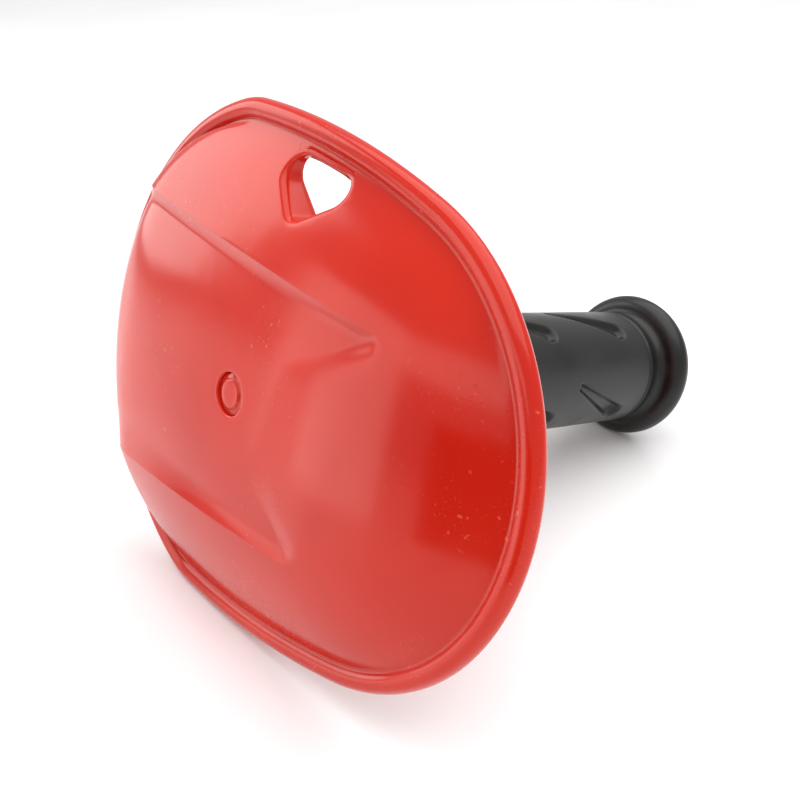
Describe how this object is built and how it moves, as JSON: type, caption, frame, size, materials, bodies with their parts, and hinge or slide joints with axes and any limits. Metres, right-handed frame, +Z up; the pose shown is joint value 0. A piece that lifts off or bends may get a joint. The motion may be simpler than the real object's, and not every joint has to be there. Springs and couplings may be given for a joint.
{
  "type": "toilet plunger",
  "caption": "Rigid glossy red dished head with a rolled rim, a sunk centre panel and a hanging hole, on a short tube handle with a flanged, grooved rubber grip; lying on its side.",
  "frame": {"origin": "middle of the footprint, on the ground the tool lies on", "axes": "+Z up; +X towards the round nose of the head, along its length; +Y towards the free end of the handle, the longest extent. The handle axis lies in the YZ plane's direction and falls towards the free end by about 15.7 degrees."},
  "size_m": [0.1494, 0.1614, 0.1173],
  "materials": {
    "head_plastic": "glossy, injection moulded",
    "cap_plastic": "glossy, injection moulded",
    "plated_screw": "zinc plated",
    "plated_washer": "zinc plated",
    "tube_metal": "drawn tube",
    "insert_metal": "machined",
    "grip_rubber": "moulded, satin",
    "plug_plastic": "moulded, fine texture"
  },
  "bodies": {
    "root": {"head_shell": "head_plastic", "crown_cap": "cap_plastic", "fixing_screw": "plated_screw", "screw_washer": "plated_washer", "handle_tube": "tube_metal", "tube_insert": "insert_metal", "grip_sleeve": "grip_rubber", "tube_end_plug": "plug_plastic"}
  },
  "joints": []
}
